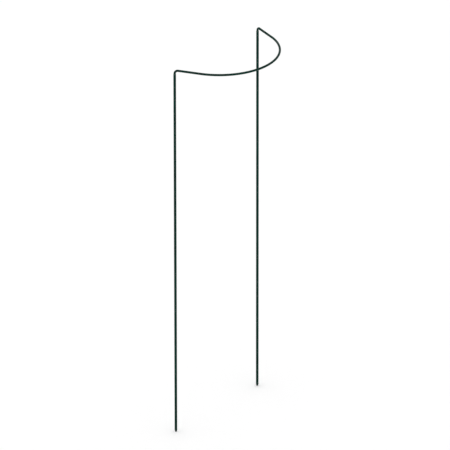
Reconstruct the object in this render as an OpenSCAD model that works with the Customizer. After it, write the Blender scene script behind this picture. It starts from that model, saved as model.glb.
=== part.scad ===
// Plant support ring stake: a sheathed wire half ring that plugs into two tubular stakes.
// Millimetres, +Z up. The origin is the middle of the footprint, level with the points of the feet.
// The stakes stand at the back (+Y), and the half ring bulges to the front (-Y).

/* [Support] */
// Height of the half ring's wire above the points of the feet
support_h = 900; // [450:10:1500]
// Radius of the half ring's arc, to the middle of its wire
ring_r = 135; // [75:1:250]
// Length of the straight arm between the arc and each bend
arm_len = 52; // [10:1:120]
// Radius of the bend at each end of the half ring, to the middle of its wire
bend_r = 8; // [5:0.5:15]

/* [Half ring] */
// Diameter of the steel wire in the half ring
wire_d = 4.2; // [2.4:0.1:6]
// Thickness of the green sheath on the half ring
ring_sheath_t = 0.5; // [0.25:0.05:0.8]
// Length of sheathed wire between each bend and the rim of its stake
neck_h = 1; // [0.5:0.5:10]
// Length of the bare prong that plugs into each stake
prong_len = 40; // [15:1:80]
// Chamfer on the end of each prong
prong_chamfer = 0.6; // [0.1:0.1:1]

/* [Stakes] */
// Gap all round between a prong and the tube that takes it
prong_clearance = 0.1; // [0.02:0.01:0.15]
// Wall of the steel tube
tube_wall = 0.4; // [0.3:0.05:1]
// Thickness of the green sheath on a stake
stake_sheath_t = 0.4; // [0.25:0.05:0.8]
// Rounding of the sheath's top edge
sheath_edge_r = 0.2; // [0.05:0.01:0.24]

/* [Foot tips] */
// Height of the tapered nose, from its point to the straight band
nose_h = 4.5; // [3.5:0.5:20]
// Radius of the rounded point
point_r = 2; // [0.5:0.1:2.2]
// Height of the straight band that the stake stands on
band_h = 2; // [0.5:0.5:6]
// Length of the plug that holds the tip in the tube
plug_len = 14; // [6:1:30]
// Gap all round between the plug and the tube
plug_clearance = 0.02; // [0.01:0.01:0.1]
// Chamfer on the plug's top edge
plug_chamfer = 0.5; // [0.1:0.1:1]

/* [Hidden] */
$fn = 64;

// The left stake is at -X and the right one at +X
left = -1;
right = 1;

// Each layer of a stake is built outwards from the prong that goes into it
ring_od = wire_d + 2 * ring_sheath_t;
bore_r = wire_d / 2 + prong_clearance;
tube_r = bore_r + tube_wall;
stake_r = tube_r + stake_sheath_t;

// The arms lean inward by 44 for each 117 forward, which makes the cosine and sine 0.936 and 0.352 exactly
arm_lean = atan2(44, 117);

// The stakes stand at the ends of the bends, and the footprint is centred on the origin
arm_reach = bend_r + arm_len;
ring_depth = arm_reach * cos(arm_lean) + ring_r * (1 - sin(arm_lean));
stake_x = arm_reach * sin(arm_lean) + ring_r * cos(arm_lean);
stake_y = (ring_depth + ring_od / 2 - stake_r) / 2;

// Levels, from the ground up
tip_h = nose_h + band_h;
rim_z = support_h - bend_r - neck_h;
stake_len = rim_z - tip_h;

// Where the straight taper of the nose meets its rounded point
taper_reach = norm([stake_r, nose_h - point_r]);
taper_turn = atan2(nose_h - point_r, stake_r) - acos(point_r / taper_reach);
taper_end = [point_r * cos(taper_turn), point_r + point_r * sin(taper_turn)];

sheath_green = "#22382f";
tip_green = "#1b2b25";
wire_grey = "#a9adb0";
tube_grey = "#9a9ea2";

// Puts a piece on the axis of one stake, at the given level
module at_stake(side, z) {
    translate([side * stake_x, stake_y, z]) children();
}

// Turns what is on the left stake's axis to face along the left arm
module facing_left_arm(z) {
    at_stake(left, z) rotate(arm_lean) children();
}

// Adds the mirror image of the left half
module both_halves() {
    children();
    mirror([1, 0, 0]) children();
}

// Sweeps a flat section from the left stake's rim up a neck, round the bend, along the arm and round
// the arc, which runs past the middle and is cut off there
module along_left_half() {
    room = 2 * (stake_x + ring_depth);
    intersection() {
        facing_left_arm(rim_z) {
            linear_extrude(neck_h) children();
            translate([0, 0, neck_h])
                rotate(90)
                    translate([-bend_r, 0, 0])
                        rotate([90, 0, 0])
                            rotate_extrude(angle = 90)
                                translate([bend_r, 0]) children();
            translate([0, -bend_r, neck_h + bend_r])
                rotate([90, 0, 0])
                    linear_extrude(arm_len) children();
            translate([ring_r, -arm_reach, neck_h + bend_r])
                rotate(180)
                    rotate_extrude(angle = 90)
                        translate([ring_r, 0]) children();
        }
        translate([-room, -room, 0]) cube([room, 2 * room, 2 * support_h]);
    }
}

// One bare prong, hanging from the rim level, with a chamfered end
module prong() {
    straight = prong_len - prong_chamfer;
    translate([0, 0, -straight])
        cylinder(d = wire_d, h = straight);
    translate([0, 0, -prong_len])
        cylinder(d1 = wire_d - 2 * prong_chamfer, d2 = wire_d, h = prong_chamfer);
}

module half_ring_wire() {
    color(wire_grey)
        both_halves() {
            along_left_half() circle(d = wire_d);
            facing_left_arm(rim_z) prong();
        }
}

module half_ring_sheath() {
    color(sheath_green)
        difference() {
            both_halves() along_left_half() circle(d = ring_od);
            half_ring_wire();
        }
}

// A steel tube from the foot tip's shoulder to the rim, open at both ends
module stake_tube(side) {
    color(tube_grey)
        at_stake(side, tip_h)
            rotate_extrude()
                translate([bore_r, 0]) square([tube_wall, stake_len]);
}

// A plastic sheath as long as the tube, with its top outer edge rounded
module stake_sheath(side) {
    color(sheath_green)
        at_stake(side, tip_h)
            rotate_extrude()
                translate([tube_r, 0]) {
                    square([stake_sheath_t, stake_len - sheath_edge_r]);
                    square([stake_sheath_t - sheath_edge_r, stake_len]);
                    translate([stake_sheath_t - sheath_edge_r, stake_len - sheath_edge_r])
                        circle(r = sheath_edge_r);
                }
}

// A solid moulded tip: a rounded point, a taper, a straight band and a plug for the tube
module foot_tip(side) {
    plug_r = bore_r - plug_clearance;
    color(tip_green)
        at_stake(side, 0)
            rotate_extrude() {
                intersection() {
                    translate([0, point_r]) circle(r = point_r);
                    square([point_r, taper_end[1]]);
                }
                polygon([
                    [0, taper_end[1]], taper_end, [stake_r, nose_h], [stake_r, tip_h],
                    [plug_r, tip_h], [plug_r, tip_h + plug_len - plug_chamfer],
                    [plug_r - plug_chamfer, tip_h + plug_len], [0, tip_h + plug_len]
                ]);
            }
}

module left_stake_tube() { stake_tube(left); }
module left_stake_sheath() { stake_sheath(left); }
module left_foot_tip() { foot_tip(left); }
module right_stake_tube() { stake_tube(right); }
module right_stake_sheath() { stake_sheath(right); }
module right_foot_tip() { foot_tip(right); }

half_ring_wire();
half_ring_sheath();
left_stake_tube();
left_stake_sheath();
left_foot_tip();
right_stake_tube();
right_stake_sheath();
right_foot_tip();
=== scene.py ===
# Plant support ring stake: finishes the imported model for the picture.
# Metres, +Z up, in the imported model's frame. Each operator makes one piece or one pair of pieces.

import math

import bmesh
import bpy
from bpy.props import FloatProperty, FloatVectorProperty, IntProperty, PointerProperty
from mathutils import Matrix, Quaternion, Vector


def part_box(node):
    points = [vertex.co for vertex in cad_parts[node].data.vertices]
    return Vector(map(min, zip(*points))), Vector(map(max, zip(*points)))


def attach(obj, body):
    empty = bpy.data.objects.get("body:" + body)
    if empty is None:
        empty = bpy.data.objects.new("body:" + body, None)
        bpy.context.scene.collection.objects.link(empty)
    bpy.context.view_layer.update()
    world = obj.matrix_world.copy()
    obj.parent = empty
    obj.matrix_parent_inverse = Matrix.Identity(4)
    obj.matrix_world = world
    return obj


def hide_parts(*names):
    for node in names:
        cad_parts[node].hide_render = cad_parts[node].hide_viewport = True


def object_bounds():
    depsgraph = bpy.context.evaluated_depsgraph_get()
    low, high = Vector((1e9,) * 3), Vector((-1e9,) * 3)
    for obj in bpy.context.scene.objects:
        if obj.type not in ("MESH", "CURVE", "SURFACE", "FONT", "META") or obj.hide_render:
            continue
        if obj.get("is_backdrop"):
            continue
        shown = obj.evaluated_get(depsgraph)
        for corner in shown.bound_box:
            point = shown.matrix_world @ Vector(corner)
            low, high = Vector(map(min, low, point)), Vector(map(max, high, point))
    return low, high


bl_info = {
    "name": "Plant Support Ring Stake",
    "version": (1, 0, 0),
    "blender": (4, 5, 0),
    "location": "View3D > Sidebar > Plant Support",
    "description": "Builds a half ring plant support that plugs into two stakes",
    "category": "Add Mesh",
}

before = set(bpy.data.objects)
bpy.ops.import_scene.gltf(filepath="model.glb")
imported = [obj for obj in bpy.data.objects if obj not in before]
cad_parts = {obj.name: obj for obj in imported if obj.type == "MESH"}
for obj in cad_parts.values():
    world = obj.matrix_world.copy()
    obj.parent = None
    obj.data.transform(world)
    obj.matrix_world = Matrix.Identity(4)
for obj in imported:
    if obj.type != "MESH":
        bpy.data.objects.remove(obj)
CAD_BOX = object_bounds()

MM = 0.001

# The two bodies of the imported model
STAKES = "stakes"
HALF_RING = "half_ring"

# The left stake is at -X and the right one at +X
SIDES = {"left": -1.0, "right": 1.0}
ALONG_Z = Vector((0, 0, 1))
QUARTER_TURN = math.pi / 2
HALF_TURN = math.pi
FULL_TURN = 2 * math.pi

# Names of the marks that the materials read: the place across and along a piece, and rubbed edges
RUN = "run"
WEAR = "wear"

# Vertices closer than the weld become one, and a vertex near a place counts as on it
WELD = 0.001 * MM
NEAR = 0.01 * MM

# Edges that turn by more than this are shaded sharp
CREASE = math.radians(40)

# Settings of a bevel: a round profile, the material of the faces beside it, and a chamfer's one step
ROUND = 0.5
KEEP_MATERIAL = -1
CHAMFER_STEPS = 1

GROUND = 0.0

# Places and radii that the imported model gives
RING_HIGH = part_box("half_ring_sheath")[1]
WIRE_LOW, WIRE_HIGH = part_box("half_ring_wire")
STAKE_LOW, STAKE_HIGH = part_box("right_stake_sheath")
TUBE_LOW, TUBE_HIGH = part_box("right_stake_tube")
TIP_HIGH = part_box("right_foot_tip")[1]
STAKE_AXIS = (STAKE_LOW + STAKE_HIGH) / 2
STAKE_R = (STAKE_HIGH.x - STAKE_LOW.x) / 2
TUBE_R = (TUBE_HIGH.x - TUBE_LOW.x) / 2
TUBE_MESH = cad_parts["right_stake_tube"].data
BORE_R = min((vertex.co.xy - STAKE_AXIS.xy).length for vertex in TUBE_MESH.vertices)
RING_SHEATH_R = RING_HIGH.x - STAKE_AXIS.x
WIRE_R = WIRE_HIGH.x - STAKE_AXIS.x

# Shape of the half ring: at each stake a bend, then a straight arm that leans inward, then the arc
BEND_R = 8 * MM
ARM_LEN = 52 * MM
ARM_LEAN = math.atan2(44, 117)
ARM_REACH = BEND_R + ARM_LEN
RING_R = (STAKE_AXIS.x - ARM_REACH * math.sin(ARM_LEAN)) / math.cos(ARM_LEAN)
RING_MIDDLE_Y = STAKE_AXIS.y - ARM_REACH * math.cos(ARM_LEAN) + RING_R * math.sin(ARM_LEAN)


def linear(hex_colour):
    """Turns an sRGB hex colour into linear red, green and blue."""
    parts = [int(hex_colour[at:at + 2], 16) / 255 for at in (1, 3, 5)]
    return [p / 12.92 if p <= 0.04045 else ((p + 0.055) / 1.055) ** 2.4 for p in parts]


class SupportSizes(bpy.types.PropertyGroup):
    """Sizes of the support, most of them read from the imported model"""

    stake_x: FloatProperty(
        name="Stake offset", description="Distance of each stake's axis from the middle plane",
        default=STAKE_AXIS.x, subtype="DISTANCE", unit="LENGTH")
    stake_y: FloatProperty(
        name="Stake depth", description="Distance of the stakes behind the middle of the footprint",
        default=STAKE_AXIS.y, subtype="DISTANCE", unit="LENGTH")
    stake_r: FloatProperty(
        name="Stake radius", description="Outer radius of a stake's sheath",
        default=STAKE_R, subtype="DISTANCE", unit="LENGTH")
    tube_r: FloatProperty(
        name="Tube radius", description="Outer radius of the steel tube in a stake",
        default=TUBE_R, subtype="DISTANCE", unit="LENGTH")
    bore_r: FloatProperty(
        name="Bore radius", description="Inner radius of the tube, which takes the prong",
        default=BORE_R, subtype="DISTANCE", unit="LENGTH")
    tip_h: FloatProperty(
        name="Tip height", description="Level of the tip's shoulder, where the tube stands",
        default=STAKE_LOW.z, subtype="DISTANCE", unit="LENGTH")
    rim_z: FloatProperty(
        name="Rim height", description="Level of the stake's top rim",
        default=STAKE_HIGH.z, subtype="DISTANCE", unit="LENGTH")
    ring_sheath_r: FloatProperty(
        name="Ring sheath radius", description="Outer radius of the half ring's sheath",
        default=RING_SHEATH_R, subtype="DISTANCE", unit="LENGTH")
    wire_r: FloatProperty(
        name="Wire radius", description="Radius of the half ring's steel wire",
        default=WIRE_R, subtype="DISTANCE", unit="LENGTH")
    ring_z: FloatProperty(
        name="Ring height", description="Level of the half ring's wire",
        default=RING_HIGH.z - RING_SHEATH_R, subtype="DISTANCE", unit="LENGTH")
    ring_r: FloatProperty(
        name="Ring radius", description="Radius of the half ring's arc, to the middle of its wire",
        default=RING_R, subtype="DISTANCE", unit="LENGTH")
    ring_middle_y: FloatProperty(
        name="Ring middle", description="Place along Y of the middle of the half ring's arc",
        default=RING_MIDDLE_Y, subtype="DISTANCE", unit="LENGTH")
    arm_len: FloatProperty(
        name="Arm length", description="Length of the straight arm between the arc and each bend",
        default=ARM_LEN, subtype="DISTANCE", unit="LENGTH")
    arm_lean: FloatProperty(
        name="Arm lean", description="Angle by which each arm leans towards the other",
        default=ARM_LEAN, subtype="ANGLE", unit="ROTATION")
    bend_r: FloatProperty(
        name="Bend radius", description="Radius of the bend at each end of the half ring",
        default=BEND_R, subtype="DISTANCE", unit="LENGTH")
    prong_end: FloatProperty(
        name="Prong end", description="Level of the prongs' lower ends",
        default=WIRE_LOW.z, subtype="DISTANCE", unit="LENGTH")
    prong_chamfer: FloatProperty(
        name="Prong chamfer", description="Chamfer on the end of each prong",
        default=0.6 * MM, subtype="DISTANCE", unit="LENGTH")
    nose_h: FloatProperty(
        name="Nose height", description="Height of the tip's taper, from the point to the band",
        default=4.5 * MM, subtype="DISTANCE", unit="LENGTH")
    point_r: FloatProperty(
        name="Point radius", description="Radius of the tip's rounded point",
        default=2.0 * MM, subtype="DISTANCE", unit="LENGTH")
    plug_top: FloatProperty(
        name="Plug top", description="Level of the top of the plug that holds the tip in the tube",
        default=TIP_HIGH.z, subtype="DISTANCE", unit="LENGTH")
    plug_gap: FloatProperty(
        name="Plug gap", description="Gap all round between the plug and the tube",
        default=0.02 * MM, subtype="DISTANCE", unit="LENGTH")
    plug_chamfer: FloatProperty(
        name="Plug chamfer", description="Chamfer on the plug's top edge",
        default=0.5 * MM, subtype="DISTANCE", unit="LENGTH")
    rim_round: FloatProperty(
        name="Rim rounding", description="Rounding of the stake sheath's top edge",
        default=0.2 * MM, subtype="DISTANCE", unit="LENGTH")
    cut_round: FloatProperty(
        name="Cut rounding", description="Rounding of a cut edge of plastic or steel",
        default=0.08 * MM, subtype="DISTANCE", unit="LENGTH")
    shoulder_round: FloatProperty(
        name="Shoulder rounding",
        description="Rounding of the tip's shoulder, which shows as a joint line",
        default=0.18 * MM, subtype="DISTANCE", unit="LENGTH")
    nose_round: FloatProperty(
        name="Nose rounding",
        description="Length of the soft corner between the tip's taper and band",
        default=0.9 * MM, subtype="DISTANCE", unit="LENGTH")
    parting_h: FloatProperty(
        name="Parting line", description="Height of the mould's parting line on a tip",
        default=0.05 * MM, subtype="DISTANCE", unit="LENGTH")
    wrinkle_h: FloatProperty(
        name="Bend wrinkles", description="Height of the sheath's wrinkles inside a bend",
        default=0.07 * MM, subtype="DISTANCE", unit="LENGTH")
    rub_length: FloatProperty(
        name="Rubbed length", description="Length over which the rubbing at a cut end fades",
        default=2.5 * MM, subtype="DISTANCE", unit="LENGTH")
    wrinkles: IntProperty(
        name="Wrinkles", description="Number of wrinkles inside each bend", default=4, min=0)
    section_sides: IntProperty(
        name="Section sides", description="Faces round each wire, tube and sheath",
        default=48, min=12)
    tip_sides: IntProperty(
        name="Tip sides", description="Faces round each tip", default=64, min=12)
    ring_steps: IntProperty(
        name="Ring steps", description="Faces along the half ring", default=180, min=24)
    bend_steps: IntProperty(
        name="Bend steps", description="Faces along each bend", default=32, min=6)
    round_steps: IntProperty(
        name="Rounding steps", description="Faces across a rounded edge", default=4, min=1)
    point_steps: IntProperty(
        name="Point steps", description="Faces from the tip's lowest point to its taper",
        default=12, min=3)


class SupportFinish(bpy.types.PropertyGroup):
    """Colours of the support and of the stage"""

    sheath_deep: FloatVectorProperty(
        name="Sheath deep", description="Darkest green of the sheath",
        default=linear("#001a15"), subtype="COLOR", min=0.0, max=1.0)
    sheath_fresh: FloatVectorProperty(
        name="Sheath fresh", description="Lightest green of the sheath",
        default=linear("#06342a"), subtype="COLOR", min=0.0, max=1.0)
    sheath_rubbed: FloatVectorProperty(
        name="Sheath rubbed", description="Pale green of rubbed and stretched sheath",
        default=linear("#4a6156"), subtype="COLOR", min=0.0, max=1.0)
    tip_deep: FloatVectorProperty(
        name="Tip deep", description="Darkest green of the moulded tips",
        default=linear("#001c16"), subtype="COLOR", min=0.0, max=1.0)
    tip_fresh: FloatVectorProperty(
        name="Tip fresh", description="Lightest green of the moulded tips",
        default=linear("#04261e"), subtype="COLOR", min=0.0, max=1.0)
    zinc_bright: FloatVectorProperty(
        name="Zinc bright", description="Bright zinc on the wire and the tubes",
        default=linear("#b6babe"), subtype="COLOR", min=0.0, max=1.0)
    zinc_dull: FloatVectorProperty(
        name="Zinc dull", description="Dulled zinc on the wire and the tubes",
        default=linear("#7f8488"), subtype="COLOR", min=0.0, max=1.0)
    floor_white: FloatVectorProperty(
        name="Floor white", description="White of the studio floor",
        default=linear("#fbfbfb"), subtype="COLOR", min=0.0, max=1.0)


class SupportStage(bpy.types.PropertyGroup):
    """Camera, light and floor of the picture"""

    camera_turn: FloatProperty(
        name="Camera turn", description="Turn of the camera round the support, from the front",
        default=math.radians(-51.225), subtype="ANGLE", unit="ROTATION")
    camera_lift: FloatProperty(
        name="Camera lift", description="Angle of the camera above the horizon",
        default=math.radians(25.766), subtype="ANGLE", unit="ROTATION")
    camera_roll: FloatProperty(
        name="Camera roll", description="Tip of the camera to one side",
        default=math.radians(-0.052), subtype="ANGLE", unit="ROTATION")
    camera_distance: FloatProperty(
        name="Camera distance", description="Distance of the camera from what it looks at",
        default=20.0, subtype="DISTANCE", unit="LENGTH")
    picture_width: FloatProperty(
        name="Picture width", description="Width that the picture takes in at that distance",
        default=1.0145, subtype="DISTANCE", unit="LENGTH")
    target_x: FloatProperty(
        name="Target offset", description="Offset from the middle plane of the point looked at",
        default=30.36 * MM, subtype="DISTANCE", unit="LENGTH")
    target_z: FloatProperty(
        name="Target height",
        description="Height of the point looked at, in the plane of the stakes",
        default=452.04 * MM, subtype="DISTANCE", unit="LENGTH")
    floor_size: FloatProperty(
        name="Floor size", description="Length of the floor's sides",
        default=12.0, subtype="DISTANCE", unit="LENGTH")
    room_light: FloatProperty(
        name="Room light", description="Strength of the even white light all round", default=1.05)
    key_power: FloatProperty(
        name="Key light", description="Power of the soft box at the left",
        default=10.0, subtype="POWER", unit="POWER")
    fill_power: FloatProperty(
        name="Fill light", description="Power of the soft box at the right",
        default=6.0, subtype="POWER", unit="POWER")
    box_width: FloatProperty(
        name="Soft box width", description="Width of each soft box",
        default=1.2, subtype="DISTANCE", unit="LENGTH")
    box_height: FloatProperty(
        name="Soft box height", description="Height of each soft box",
        default=1.6, subtype="DISTANCE", unit="LENGTH")


def vertices_of(geometry):
    """The vertices among what an operator returns."""
    return [part for part in geometry if isinstance(part, bmesh.types.BMVert)]


def edges_between(vertices):
    """The edges whose two ends are both among the vertices, each once and in order."""
    inside = set(vertices)
    found = {}
    for vertex in vertices:
        for edge in vertex.link_edges:
            if edge.other_vert(vertex) in inside:
                found[edge] = None
    return list(found)


def start_ring(bm, centre, radius, sides):
    """Draws a level ring of edges round a point."""
    place = Matrix.Translation(centre)
    made = bmesh.ops.create_circle(bm, segments=sides, radius=radius, matrix=place)
    return edges_between(made["verts"])


def pull_ring(bm, ring, shift):
    """Extrudes a ring in a straight line and returns its far end."""
    made = vertices_of(bmesh.ops.extrude_edge_only(bm, edges=ring)["geom"])
    bmesh.ops.translate(bm, verts=made, vec=shift)
    return edges_between(made)


def turn_ring(bm, ring, centre, axis, angle, steps):
    """Spins a ring round a bend and returns its far end."""
    made = bmesh.ops.spin(bm, geom=ring, cent=centre, axis=axis, angle=angle, steps=steps)
    return edges_between(vertices_of(made["geom_last"]))


def round_edges(bm, edges, size, steps):
    """Rounds edges over with a bevel."""
    bmesh.ops.bevel(
        bm, geom=edges, offset=size, offset_type="OFFSET", affect="EDGES",
        segments=steps, profile=ROUND, material=KEEP_MATERIAL, clamp_overlap=True)


def spin_section(bm, axis, points, sides):
    """Spins a half section, given as radius and height, once round an upright axis.

    A section that starts away from the axis is a wall, and is closed first.
    """
    line = [bm.verts.new((axis.x + radius, axis.y, height)) for radius, height in points]
    edges = [bm.edges.new(pair) for pair in zip(line, line[1:])]
    if points[0][0] > NEAR:
        edges.append(bm.edges.new((line[-1], line[0])))
    bmesh.ops.spin(
        bm, geom=line + edges, cent=axis, axis=ALONG_Z, angle=FULL_TURN, steps=sides,
        use_merge=True)
    bmesh.ops.remove_doubles(bm, verts=bm.verts, dist=WELD)
    bmesh.ops.recalc_face_normals(bm, faces=bm.faces)


def ring_at(bm, axis, radius, level):
    """The ring of edges at a radius round an upright axis and at a level."""
    on_level = [vertex for vertex in bm.verts if abs(vertex.co.z - level) < NEAR]
    return edges_between([
        vertex for vertex in on_level if abs((vertex.co.xy - axis.xy).length - radius) < NEAR])


def stake_axis(sizes, sign):
    """The foot of one stake's axis, on the ground."""
    return Vector((sign * sizes.stake_x, sizes.stake_y, GROUND))


def arm_axes(sizes, sign):
    """The level directions of one arm: inward across it, and forward along it from its stake."""
    sine, cosine = math.sin(sizes.arm_lean), math.cos(sizes.arm_lean)
    return Vector((-sign * cosine, sine, 0)), Vector((-sign * sine, -cosine, 0))


def bend_foot(sizes, sign):
    """The point on one stake's axis where the bend begins."""
    return stake_axis(sizes, sign) + ALONG_Z * (sizes.ring_z - sizes.bend_r)


def sweep_half_ring(bm, sizes, radius, low):
    """Sweeps a ring up the left stake's axis, round the half ring and down the right one's."""
    left, right = (bend_foot(sizes, sign) for sign in SIDES.values())
    left_inward, left_forward = arm_axes(sizes, SIDES["left"])
    right_inward, right_forward = arm_axes(sizes, SIDES["right"])
    middle = Vector((0, sizes.ring_middle_y, sizes.ring_z))
    rise = ALONG_Z * (left.z - low)
    arc = HALF_TURN - 2 * sizes.arm_lean
    first = start_ring(bm, left - rise, radius, sizes.section_sides)
    ring = pull_ring(bm, first, rise)
    left_centre = left + left_forward * sizes.bend_r
    ring = turn_ring(bm, ring, left_centre, left_inward, QUARTER_TURN, sizes.bend_steps)
    ring = pull_ring(bm, ring, left_forward * sizes.arm_len)
    ring = turn_ring(bm, ring, middle, ALONG_Z, arc, sizes.ring_steps)
    ring = pull_ring(bm, ring, -right_forward * sizes.arm_len)
    right_centre = right + right_forward * sizes.bend_r
    ring = turn_ring(bm, ring, right_centre, right_inward, QUARTER_TURN, sizes.bend_steps)
    last = pull_ring(bm, ring, -rise)
    return first, last


def half_ring_run(sizes):
    """Gives a function that finds how far a point lies across and along the half ring."""
    neck = sizes.ring_z - sizes.bend_r - sizes.rim_z
    arm_start = neck + sizes.bend_r * QUARTER_TURN
    arc_start = arm_start + sizes.arm_len
    whole = 2 * arc_start + sizes.ring_r * (HALF_TURN - 2 * sizes.arm_lean)

    def run_of(point):
        sign = math.copysign(1.0, point.x)
        inward, forward = arm_axes(sizes, sign)
        off = point - bend_foot(sizes, sign)
        across, ahead = off.dot(inward), off.dot(forward)
        if ahead > sizes.bend_r + sizes.arm_len:
            spoke = Vector((abs(point.x), sizes.ring_middle_y - point.y))
            turned = math.atan2(spoke.y, spoke.x) - sizes.arm_lean
            along = arc_start + sizes.ring_r * turned
            place = Vector((sizes.ring_r - spoke.length, off.z - sizes.bend_r, along))
        elif ahead > sizes.bend_r:
            place = Vector((across, off.z - sizes.bend_r, arm_start + ahead - sizes.bend_r))
        elif off.z > 0:
            reach = Vector((sizes.bend_r - ahead, off.z))
            along = neck + sizes.bend_r * math.atan2(reach.y, reach.x)
            place = Vector((across, reach.length - sizes.bend_r, along))
        else:
            place = Vector((across, -ahead, neck + off.z))
        if sign > 0:
            place.z = whole - place.z
        return place

    return run_of


def stake_run(axis):
    """Gives a function that finds how far a point lies from a stake's axis and along it."""
    return lambda point: Vector((point.x - axis.x, point.y - axis.y, point.z))


def rubbed_ends(ends, length):
    """Gives a function of height that is one at the cut ends and fades to nothing over a length."""
    return lambda point: max(0.0, 1.0 - min(abs(point.z - end) for end in ends) / length)


def finish_piece(bm, name, body, node, material, run_of, wear_of):
    """Closes a mesh, marks its run and wear, and puts it on its body in place of its CAD node."""
    bmesh.ops.remove_doubles(bm, verts=bm.verts, dist=WELD)
    bmesh.ops.recalc_face_normals(bm, faces=bm.faces)
    run = bm.verts.layers.float_vector.new(RUN)
    wear = bm.verts.layers.float.new(WEAR)
    for vertex in bm.verts:
        vertex[run] = run_of(vertex.co)
        vertex[wear] = wear_of(vertex.co)
    mesh = bpy.data.meshes.new(name)
    bm.to_mesh(mesh)
    bm.free()
    mesh.shade_smooth()
    mesh.set_sharp_from_angle(angle=CREASE)
    mesh.materials.append(material)
    piece = bpy.data.objects.new(name, mesh)
    bpy.context.scene.collection.objects.link(piece)
    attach(piece, body)
    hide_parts(node)


def add_node(tree, kind, settings=None, inputs=None):
    """Adds a node, sets its options, and gives each input a value or a link."""
    node = tree.nodes.new(kind)
    for option, value in (settings or {}).items():
        setattr(node, option, value)
    for socket, value in (inputs or {}).items():
        if isinstance(value, bpy.types.NodeSocket):
            tree.links.new(value, node.inputs[socket])
        else:
            node.inputs[socket].default_value = value
    return node


def start_material(name):
    """Makes a material and returns it with its node tree and its shader."""
    material = bpy.data.materials.new(name)
    material.use_nodes = True
    tree = material.node_tree
    shader = next(node for node in tree.nodes if node.type == "BSDF_PRINCIPLED")
    return material, tree, shader


def opaque(colour):
    """A colour with full alpha."""
    return (*colour, 1.0)


# Sockets of the Mix node when it mixes colours
MIX_FACTOR, MIX_FIRST, MIX_SECOND, MIX_RESULT = 0, 6, 7, 2

# Most of a noise lies in the first span, most of two noises added in the second
NOISE_LOW, NOISE_HIGH = 0.3, 0.7
PAIR_LOW, PAIR_HIGH = 0.7, 1.3

# Level of gloss that leaves a thin plastic wire as dark in a white room as the photograph has it
PLASTIC_GLOSS = 0.05

# Marks of an extruded sheath: die lines, a faint orange peel, drifts of tone and short scuffs. The
# drifts are lighter and darker patches of colour that are partly random tone and partly painted
# sheen. They are drawn as coarse as they need to be to show in the picture, where a leg is under 3
# pixels wide. The others keep their real size and show close up
DIE_LINE = 0.35 * MM
DIE_LINE_RUN = 120 * MM
PEEL = 0.8 * MM
TONE_AND_SHEEN_DRIFT = 45 * MM
SCUFF = 1.4 * MM
SCUFF_RUN = 9 * MM

# Only the highest scuff noise shows, and it turns this share of the green pale
SCUFF_LOW, SCUFF_HIGH = 0.66, 0.78
SCUFF_SHARE = 0.30

# Satin of the sheath, how much duller it is where it is pale, and the height of its marks
SATIN_LOW, SATIN_HIGH = 0.30, 0.40
PALE_DULLING = 0.5
PEEL_HEIGHT = 0.6
SHEATH_RELIEF = 0.03 * MM
SHEATH_BUMP = 0.5
POLYETHYLENE_IOR = 1.51


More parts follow.
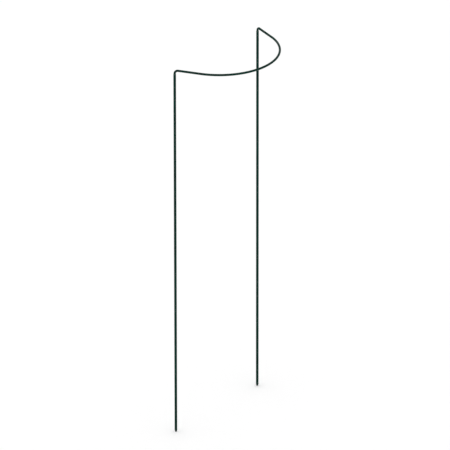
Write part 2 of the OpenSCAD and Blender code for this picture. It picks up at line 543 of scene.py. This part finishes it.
def extruded_polyethylene(finish):
    """Polyethylene drawn over steel: dark satin green, die lines, peel, scuffs and rubbed ends."""
    material, tree, shader = start_material("extruded_polyethylene")
    run = add_node(tree, "ShaderNodeAttribute", {"attribute_name": RUN}).outputs["Vector"]
    wear = add_node(tree, "ShaderNodeAttribute", {"attribute_name": WEAR}).outputs["Fac"]

    along = add_node(tree, "ShaderNodeMapping", None, {
        "Vector": run, "Scale": (1 / DIE_LINE, 1 / DIE_LINE, 1 / DIE_LINE_RUN)})
    lines = add_node(tree, "ShaderNodeTexNoise", None, {
        "Vector": along.outputs[0], "Scale": 1.0, "Detail": 2.0}).outputs["Fac"]
    peel = add_node(tree, "ShaderNodeTexNoise", None, {
        "Vector": run, "Scale": 1 / PEEL, "Detail": 1.0}).outputs["Fac"]
    # Slow lighter and darker drifts along the sheath: random tone and painted sheen together
    drift = add_node(tree, "ShaderNodeTexNoise", None, {
        "Vector": run, "Scale": 1 / TONE_AND_SHEEN_DRIFT, "Detail": 2.0}).outputs["Fac"]
    stretched = add_node(tree, "ShaderNodeMapping", None, {
        "Vector": run, "Scale": (1 / SCUFF, 1 / SCUFF, 1 / SCUFF_RUN)})
    scuff_noise = add_node(tree, "ShaderNodeTexNoise", None, {
        "Vector": stretched.outputs[0], "Scale": 1.0, "Detail": 3.0}).outputs["Fac"]
    scuffs = add_node(tree, "ShaderNodeMapRange", None, {
        "Value": scuff_noise, "From Min": SCUFF_LOW, "From Max": SCUFF_HIGH,
        "To Max": SCUFF_SHARE}).outputs[0]

    # The ends are rubbed in patches, not evenly
    patchy = add_node(tree, "ShaderNodeMath", {"operation": "MULTIPLY"}, {
        0: wear, 1: peel}).outputs[0]
    pale = add_node(tree, "ShaderNodeMath", {"operation": "MAXIMUM"}, {
        0: scuffs, 1: patchy}).outputs[0]

    # The tone adds the die lines to the drifts, so it carries painted sheen as well as random tone
    tone = add_node(tree, "ShaderNodeMath", {"operation": "ADD"}, {
        0: lines, 1: drift}).outputs[0]
    spread = add_node(tree, "ShaderNodeMapRange", None, {
        "Value": tone, "From Min": PAIR_LOW, "From Max": PAIR_HIGH}).outputs[0]
    green = add_node(tree, "ShaderNodeMix", {"data_type": "RGBA"}, {
        MIX_FACTOR: spread, MIX_FIRST: opaque(finish.sheath_deep),
        MIX_SECOND: opaque(finish.sheath_fresh)}).outputs[MIX_RESULT]
    colour = add_node(tree, "ShaderNodeMix", {"data_type": "RGBA"}, {
        MIX_FACTOR: pale, MIX_FIRST: green,
        MIX_SECOND: opaque(finish.sheath_rubbed)}).outputs[MIX_RESULT]
    tree.links.new(colour, shader.inputs["Base Color"])

    gloss = add_node(tree, "ShaderNodeMapRange", None, {
        "Value": peel, "From Min": NOISE_LOW, "From Max": NOISE_HIGH,
        "To Min": SATIN_LOW, "To Max": SATIN_HIGH}).outputs[0]
    dulled = add_node(tree, "ShaderNodeMath", {"operation": "MULTIPLY_ADD"}, {
        0: pale, 1: PALE_DULLING, 2: gloss}).outputs[0]
    tree.links.new(dulled, shader.inputs["Roughness"])

    height = add_node(tree, "ShaderNodeMath", {"operation": "MULTIPLY_ADD"}, {
        0: peel, 1: PEEL_HEIGHT, 2: lines}).outputs[0]
    bump = add_node(tree, "ShaderNodeBump", None, {
        "Strength": SHEATH_BUMP, "Distance": SHEATH_RELIEF, "Height": height}).outputs[0]
    tree.links.new(bump, shader.inputs["Normal"])
    shader.inputs["IOR"].default_value = POLYETHYLENE_IOR
    shader.inputs["Specular IOR Level"].default_value = PLASTIC_GLOSS
    return material


# Marks of a moulded tip: a fine spark-eroded grain and slow drifts of tone, at their real size
MOULD_GRAIN = 0.22 * MM
MOULD_DRIFT = 4 * MM
MOULD_DRIFT_LOW, MOULD_DRIFT_HIGH = 0.35, 0.65

# Matt finish of the tip and the height of its grain
MATT_LOW, MATT_HIGH = 0.48, 0.62
TIP_RELIEF = 0.02 * MM
TIP_BUMP = 0.6
POLYPROPYLENE_IOR = 1.49


def moulded_polypropylene(finish):
    """Moulded polypropylene: a darker, matt green with fine grain, rubbed pale on its point."""
    material, tree, shader = start_material("moulded_polypropylene")
    run = add_node(tree, "ShaderNodeAttribute", {"attribute_name": RUN}).outputs["Vector"]
    wear = add_node(tree, "ShaderNodeAttribute", {"attribute_name": WEAR}).outputs["Fac"]
    grain = add_node(tree, "ShaderNodeTexNoise", None, {
        "Vector": run, "Scale": 1 / MOULD_GRAIN, "Detail": 2.0}).outputs["Fac"]
    drift = add_node(tree, "ShaderNodeTexNoise", None, {
        "Vector": run, "Scale": 1 / MOULD_DRIFT, "Detail": 3.0}).outputs["Fac"]
    spread = add_node(tree, "ShaderNodeMapRange", None, {
        "Value": drift, "From Min": MOULD_DRIFT_LOW, "From Max": MOULD_DRIFT_HIGH}).outputs[0]
    green = add_node(tree, "ShaderNodeMix", {"data_type": "RGBA"}, {
        MIX_FACTOR: spread, MIX_FIRST: opaque(finish.tip_deep),
        MIX_SECOND: opaque(finish.tip_fresh)}).outputs[MIX_RESULT]
    patchy = add_node(tree, "ShaderNodeMath", {"operation": "MULTIPLY"}, {
        0: wear, 1: drift}).outputs[0]
    colour = add_node(tree, "ShaderNodeMix", {"data_type": "RGBA"}, {
        MIX_FACTOR: patchy, MIX_FIRST: green,
        MIX_SECOND: opaque(finish.sheath_rubbed)}).outputs[MIX_RESULT]
    tree.links.new(colour, shader.inputs["Base Color"])
    matt = add_node(tree, "ShaderNodeMapRange", None, {
        "Value": grain, "From Min": NOISE_LOW, "From Max": NOISE_HIGH,
        "To Min": MATT_LOW, "To Max": MATT_HIGH}).outputs[0]
    tree.links.new(matt, shader.inputs["Roughness"])
    bump = add_node(tree, "ShaderNodeBump", None, {
        "Strength": TIP_BUMP, "Distance": TIP_RELIEF, "Height": grain}).outputs[0]
    tree.links.new(bump, shader.inputs["Normal"])
    shader.inputs["IOR"].default_value = POLYPROPYLENE_IOR
    shader.inputs["Specular IOR Level"].default_value = PLASTIC_GLOSS
    return material


# Marks of drawn wire and rolled tube, at their real size: fine lines along the draw, dull patches
DRAW_LINE = 0.12 * MM
DRAW_LINE_RUN = 30 * MM
DULL_PATCH = 5 * MM

# Roughness of the zinc on the wire and on the tube, how far it drifts, and how much a cut end adds
WIRE_DULLNESS = 0.3
TUBE_DULLNESS = 0.38
DULL_DRIFT = 0.06
CUT_DULLING = 0.15
ZINC_RELIEF = 0.01 * MM
ZINC_BUMP = 0.5


def zinc_coated_steel(finish, name, dullness):
    """Drawn steel with a bright zinc coat: lines along its length and dull, clouded patches."""
    material, tree, shader = start_material(name)
    run = add_node(tree, "ShaderNodeAttribute", {"attribute_name": RUN}).outputs["Vector"]
    wear = add_node(tree, "ShaderNodeAttribute", {"attribute_name": WEAR}).outputs["Fac"]
    along = add_node(tree, "ShaderNodeMapping", None, {
        "Vector": run, "Scale": (1 / DRAW_LINE, 1 / DRAW_LINE, 1 / DRAW_LINE_RUN)})
    lines = add_node(tree, "ShaderNodeTexNoise", None, {
        "Vector": along.outputs[0], "Scale": 1.0, "Detail": 2.0}).outputs["Fac"]
    clouds = add_node(tree, "ShaderNodeTexNoise", None, {
        "Vector": run, "Scale": 1 / DULL_PATCH, "Detail": 3.0}).outputs["Fac"]
    tone = add_node(tree, "ShaderNodeMath", {"operation": "ADD"}, {
        0: lines, 1: clouds}).outputs[0]
    spread = add_node(tree, "ShaderNodeMapRange", None, {
        "Value": tone, "From Min": PAIR_LOW, "From Max": PAIR_HIGH}).outputs[0]
    zinc = add_node(tree, "ShaderNodeMix", {"data_type": "RGBA"}, {
        MIX_FACTOR: spread, MIX_FIRST: opaque(finish.zinc_dull),
        MIX_SECOND: opaque(finish.zinc_bright)}).outputs[MIX_RESULT]
    tree.links.new(zinc, shader.inputs["Base Color"])
    gloss = add_node(tree, "ShaderNodeMapRange", None, {
        "Value": clouds, "From Min": NOISE_LOW, "From Max": NOISE_HIGH,
        "To Min": dullness - DULL_DRIFT, "To Max": dullness + DULL_DRIFT}).outputs[0]
    cut = add_node(tree, "ShaderNodeMath", {"operation": "MULTIPLY_ADD"}, {
        0: wear, 1: CUT_DULLING, 2: gloss}).outputs[0]
    tree.links.new(cut, shader.inputs["Roughness"])
    bump = add_node(tree, "ShaderNodeBump", None, {
        "Strength": ZINC_BUMP, "Distance": ZINC_RELIEF, "Height": lines}).outputs[0]
    tree.links.new(bump, shader.inputs["Normal"])
    shader.inputs["Metallic"].default_value = 1.0
    return material


def matt_paper(finish):
    """Matt white paper for the studio floor: no gloss, so nothing shows on it."""
    material, _, shader = start_material("matt_paper")
    shader.inputs["Base Color"].default_value = opaque(finish.floor_white)
    shader.inputs["Roughness"].default_value = 1.0
    shader.inputs["Specular IOR Level"].default_value = 0.0
    return material


def made_once(name, make, *details):
    """The material of that name, made the first time that it is asked for."""
    return bpy.data.materials.get(name) or make(*details)


class PLANT_SUPPORT_OT_ring_wire(bpy.types.Operator):
    """Sweep the steel wire of the half ring, with a bare chamfered prong at each end"""

    bl_idname = "plant_support.ring_wire"
    bl_label = "Half Ring Wire"

    def execute(self, context):
        sizes = context.scene.support_sizes
        finish = context.scene.support_finish
        bm = bmesh.new()
        ends = sweep_half_ring(bm, sizes, sizes.wire_r, sizes.prong_end)
        for end in ends:
            bmesh.ops.contextual_create(bm, geom=end)
        round_edges(bm, ends[0] + ends[1], sizes.prong_chamfer, CHAMFER_STEPS)
        zinc = made_once(
            "zinc_coated_wire", zinc_coated_steel, finish, "zinc_coated_wire", WIRE_DULLNESS)
        finish_piece(
            bm, "ring_wire", HALF_RING, "half_ring_wire", zinc,
            half_ring_run(sizes), rubbed_ends([sizes.prong_end], sizes.rub_length))
        return {"FINISHED"}


class PLANT_SUPPORT_OT_ring_sheath(bpy.types.Operator):
    """Sweep the green sheath over the half ring's wire, wrinkled inside its bends"""

    bl_idname = "plant_support.ring_sheath"
    bl_label = "Half Ring Sheath"

    def execute(self, context):
        sizes = context.scene.support_sizes
        finish = context.scene.support_finish
        bm = bmesh.new()
        sweep_half_ring(bm, sizes, sizes.ring_sheath_r, sizes.rim_z)
        self.wrinkle_bends(bm, sizes)
        bmesh.ops.recalc_face_normals(bm, faces=bm.faces)
        bmesh.ops.solidify(bm, geom=bm.faces[:], thickness=sizes.ring_sheath_r - sizes.wire_r)
        for sign in SIDES.values():
            end = ring_at(bm, stake_axis(sizes, sign), sizes.ring_sheath_r, sizes.rim_z)
            round_edges(bm, end, sizes.cut_round, sizes.round_steps)
        green = made_once("extruded_polyethylene", extruded_polyethylene, finish)
        finish_piece(
            bm, "ring_sheath", HALF_RING, "half_ring_sheath", green,
            half_ring_run(sizes), rubbed_ends([sizes.rim_z], sizes.rub_length))
        return {"FINISHED"}

    def wrinkle_bends(self, bm, sizes):
        """Pushes the sheath into small wrinkles on the inner side of both bends."""
        for vertex in bm.verts:
            sign = math.copysign(1.0, vertex.co.x)
            forward = arm_axes(sizes, sign)[1]
            off = vertex.co - bend_foot(sizes, sign)
            back = sizes.bend_r - off.dot(forward)
            if back <= 0 or off.z <= 0:
                continue
            reach = ALONG_Z * off.z - forward * back
            inward = max(0.0, (sizes.bend_r - reach.length) / sizes.ring_sheath_r)
            bent = math.atan2(off.z, back) / QUARTER_TURN
            swell = (1 - math.cos(FULL_TURN * sizes.wrinkles * bent)) / 2
            vertex.co -= reach.normalized() * (sizes.wrinkle_h * inward ** 2 * swell)


class PLANT_SUPPORT_OT_stake_tubes(bpy.types.Operator):
    """Build the steel tube inside each stake, open at both ends"""

    bl_idname = "plant_support.stake_tubes"
    bl_label = "Stake Tubes"

    def execute(self, context):
        sizes = context.scene.support_sizes
        finish = context.scene.support_finish
        zinc = made_once(
            "zinc_plated_tube", zinc_coated_steel, finish, "zinc_plated_tube", TUBE_DULLNESS)
        ends = [sizes.tip_h, sizes.rim_z]
        section = [
            (sizes.bore_r, sizes.tip_h), (sizes.tube_r, sizes.tip_h),
            (sizes.tube_r, sizes.rim_z), (sizes.bore_r, sizes.rim_z)]
        for side, sign in SIDES.items():
            axis = stake_axis(sizes, sign)
            bm = bmesh.new()
            spin_section(bm, axis, section, sizes.section_sides)
            for radius in (sizes.bore_r, sizes.tube_r):
                rim = ring_at(bm, axis, radius, sizes.rim_z)
                round_edges(bm, rim, sizes.cut_round, sizes.round_steps)
            finish_piece(
                bm, side + "_tube", STAKES, side + "_stake_tube", zinc,
                stake_run(axis), rubbed_ends(ends, sizes.rub_length))
        return {"FINISHED"}


class PLANT_SUPPORT_OT_stake_sheaths(bpy.types.Operator):
    """Build the green sheath on each stake, with a rounded rim"""

    bl_idname = "plant_support.stake_sheaths"
    bl_label = "Stake Sheaths"

    def execute(self, context):
        sizes = context.scene.support_sizes
        finish = context.scene.support_finish
        green = made_once("extruded_polyethylene", extruded_polyethylene, finish)
        ends = [sizes.tip_h, sizes.rim_z]
        fade = sizes.rub_length
        section = [
            (sizes.tube_r, sizes.tip_h), (sizes.stake_r, sizes.tip_h),
            (sizes.stake_r, sizes.tip_h + fade), (sizes.stake_r, sizes.rim_z - fade),
            (sizes.stake_r, sizes.rim_z), (sizes.tube_r, sizes.rim_z)]
        for side, sign in SIDES.items():
            axis = stake_axis(sizes, sign)
            bm = bmesh.new()
            spin_section(bm, axis, section, sizes.section_sides)
            for level, size in ((sizes.rim_z, sizes.rim_round), (sizes.tip_h, sizes.cut_round)):
                round_edges(bm, ring_at(bm, axis, sizes.stake_r, level), size, sizes.round_steps)
            finish_piece(
                bm, side + "_sheath", STAKES, side + "_stake_sheath", green,
                stake_run(axis), rubbed_ends(ends, fade))
        return {"FINISHED"}


class PLANT_SUPPORT_OT_foot_tips(bpy.types.Operator):
    """Spin the moulded tip in the foot of each stake, with its mould's parting line"""

    bl_idname = "plant_support.foot_tips"
    bl_label = "Foot Tips"

    def execute(self, context):
        sizes = context.scene.support_sizes
        finish = context.scene.support_finish
        green = made_once("moulded_polypropylene", moulded_polypropylene, finish)
        for side, sign in SIDES.items():
            axis = stake_axis(sizes, sign)
            bm = bmesh.new()
            self.spin_tip(bm, sizes, axis)
            self.raise_parting_line(bm, sizes, axis)
            finish_piece(
                bm, side + "_tip", STAKES, side + "_foot_tip", green,
                stake_run(axis), rubbed_ends([GROUND], sizes.rub_length))
        return {"FINISHED"}

    def profile(self, sizes):
        """The tip's half section as radius and height: point, taper, band, shoulder and plug."""
        reach = math.hypot(sizes.stake_r, sizes.nose_h - sizes.point_r)
        rise = math.atan2(sizes.nose_h - sizes.point_r, sizes.stake_r)
        taper = rise - math.acos(sizes.point_r / reach)
        points = []
        for step in range(sizes.point_steps + 1):
            angle = -QUARTER_TURN + (taper + QUARTER_TURN) * step / sizes.point_steps
            points.append((sizes.point_r * math.cos(angle), sizes.point_r * (1 + math.sin(angle))))
        plug_r = sizes.bore_r - sizes.plug_gap
        points += [
            (sizes.stake_r, sizes.nose_h), (sizes.stake_r, sizes.tip_h), (plug_r, sizes.tip_h),
            (plug_r, sizes.plug_top - sizes.plug_chamfer),
            (plug_r - sizes.plug_chamfer, sizes.plug_top), (0.0, sizes.plug_top)]
        return points

    def spin_tip(self, bm, sizes, axis):
        """Spins the half section round the stake's axis and softens its two outer corners."""
        spin_section(bm, axis, self.profile(sizes), sizes.tip_sides)
        for level, size in ((sizes.nose_h, sizes.nose_round), (sizes.tip_h, sizes.shoulder_round)):
            round_edges(bm, ring_at(bm, axis, sizes.stake_r, level), size, sizes.round_steps)

    def raise_parting_line(self, bm, sizes, axis):
        """Lifts the line along both sides of the tip where the halves of its mould met."""
        for vertex in bm.verts:
            out = vertex.co.x - axis.x
            on_line = abs(vertex.co.y - axis.y) < WELD and abs(out) > sizes.point_r / 2
            if on_line and vertex.co.z < sizes.tip_h - sizes.shoulder_round:
                vertex.co.x += math.copysign(sizes.parting_h, out)


# Places of the two soft boxes, which face the middle of the support
KEY_PLACE = Vector((-1.9, -0.5, 0.9))
FILL_PLACE = Vector((1.4, -1.5, 0.8))


class PLANT_SUPPORT_OT_studio(bpy.types.Operator):
    """Set up the white floor, the soft light and the photograph's camera"""

    bl_idname = "plant_support.studio"
    bl_label = "Studio"

    def execute(self, context):
        scene = context.scene
        stage = scene.support_stage
        scene.view_settings.view_transform = "Standard"
        self.lay_floor(scene, stage)
        self.light_room(scene, stage)
        self.place_camera(scene, stage)
        return {"FINISHED"}

    def lay_floor(self, scene, stage):
        """Lays a square of matt paper under the feet."""
        bm = bmesh.new()
        bmesh.ops.create_grid(bm, x_segments=1, y_segments=1, size=stage.floor_size / 2)
        mesh = bpy.data.meshes.new("floor")
        bm.to_mesh(mesh)
        bm.free()
        mesh.materials.append(made_once("matt_paper", matt_paper, scene.support_finish))
        floor = bpy.data.objects.new("floor", mesh)
        scene.collection.objects.link(floor)
        floor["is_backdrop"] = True

    def light_room(self, scene, stage):
        """Fills the room with even white light and adds two upright soft boxes for a sheen."""
        world = bpy.data.worlds.new("white_room")
        world.use_nodes = True
        background = next(node for node in world.node_tree.nodes if node.type == "BACKGROUND")
        background.inputs["Color"].default_value = opaque((1.0, 1.0, 1.0))
        background.inputs["Strength"].default_value = stage.room_light
        scene.world = world
        lamps = (
            ("key_box", stage.key_power, KEY_PLACE),
            ("fill_box", stage.fill_power, FILL_PLACE))
        for name, power, place in lamps:
            lamp = bpy.data.lights.new(name, "AREA")
            lamp.shape = "RECTANGLE"
            lamp.size = stage.box_width
            lamp.size_y = stage.box_height
            lamp.energy = power
            soft_box = bpy.data.objects.new(name, lamp)
            level = Vector((place.x, place.y, 0))
            soft_box.rotation_euler = level.to_track_quat("Z", "Y").to_euler()
            soft_box.location = place
            soft_box.visible_diffuse = False
            scene.collection.objects.link(soft_box)

    def place_camera(self, scene, stage):
        """Puts a long lens where the photograph was taken from."""
        turn, lift = stage.camera_turn, stage.camera_lift
        back = Vector((
            math.sin(turn) * math.cos(lift), -math.cos(turn) * math.cos(lift), math.sin(lift)))
        target = Vector((stage.target_x, scene.support_sizes.stake_y, stage.target_z))
        lens = bpy.data.cameras.new("photo_camera")
        lens.lens = lens.sensor_width * stage.camera_distance / stage.picture_width
        lens.clip_end = 2 * stage.camera_distance
        camera = bpy.data.objects.new("photo_camera", lens)
        camera.location = target + back * stage.camera_distance
        level = back.to_track_quat("Z", "Y")
        camera.rotation_euler = (level @ Quaternion(ALONG_Z, stage.camera_roll)).to_euler()
        scene.collection.objects.link(camera)
        scene.camera = camera


class PLANT_SUPPORT_PT_panel(bpy.types.Panel):
    """Lists the pieces of the plant support with its sizes and finishes"""

    bl_idname = "PLANT_SUPPORT_PT_panel"
    bl_label = "Plant Support"
    bl_space_type = "VIEW_3D"
    bl_region_type = "UI"
    bl_category = "Plant Support"

    def draw(self, context):
        scene = context.scene
        for operator in OPERATORS:
            self.layout.operator(operator.bl_idname)
        for group in (scene.support_sizes, scene.support_finish, scene.support_stage):
            box = self.layout.box()
            for key in group.__annotations__:
                box.prop(group, key)


OPERATORS = (
    PLANT_SUPPORT_OT_ring_wire,
    PLANT_SUPPORT_OT_ring_sheath,
    PLANT_SUPPORT_OT_stake_tubes,
    PLANT_SUPPORT_OT_stake_sheaths,
    PLANT_SUPPORT_OT_foot_tips,
    PLANT_SUPPORT_OT_studio,
)
CLASSES = (SupportSizes, SupportFinish, SupportStage, *OPERATORS, PLANT_SUPPORT_PT_panel)


def register():
    """Registers the classes and hangs the settings on the scene."""
    for each in CLASSES:
        bpy.utils.register_class(each)
    bpy.types.Scene.support_sizes = PointerProperty(type=SupportSizes)
    bpy.types.Scene.support_finish = PointerProperty(type=SupportFinish)
    bpy.types.Scene.support_stage = PointerProperty(type=SupportStage)


def unregister():
    """Takes the settings off the scene and the classes out again."""
    del bpy.types.Scene.support_stage
    del bpy.types.Scene.support_finish
    del bpy.types.Scene.support_sizes
    for each in reversed(CLASSES):
        bpy.utils.unregister_class(each)


def main():
    """Builds every piece and the stage in order."""
    register()
    bpy.ops.plant_support.ring_wire()
    bpy.ops.plant_support.ring_sheath()
    bpy.ops.plant_support.stake_tubes()
    bpy.ops.plant_support.stake_sheaths()
    bpy.ops.plant_support.foot_tips()
    bpy.ops.plant_support.studio()
    boxes = {"cad": CAD_BOX, "visual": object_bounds()}
    {key: [list(corner) for corner in corners] for key, corners in boxes.items()}


if __name__ == "__main__":
    main()
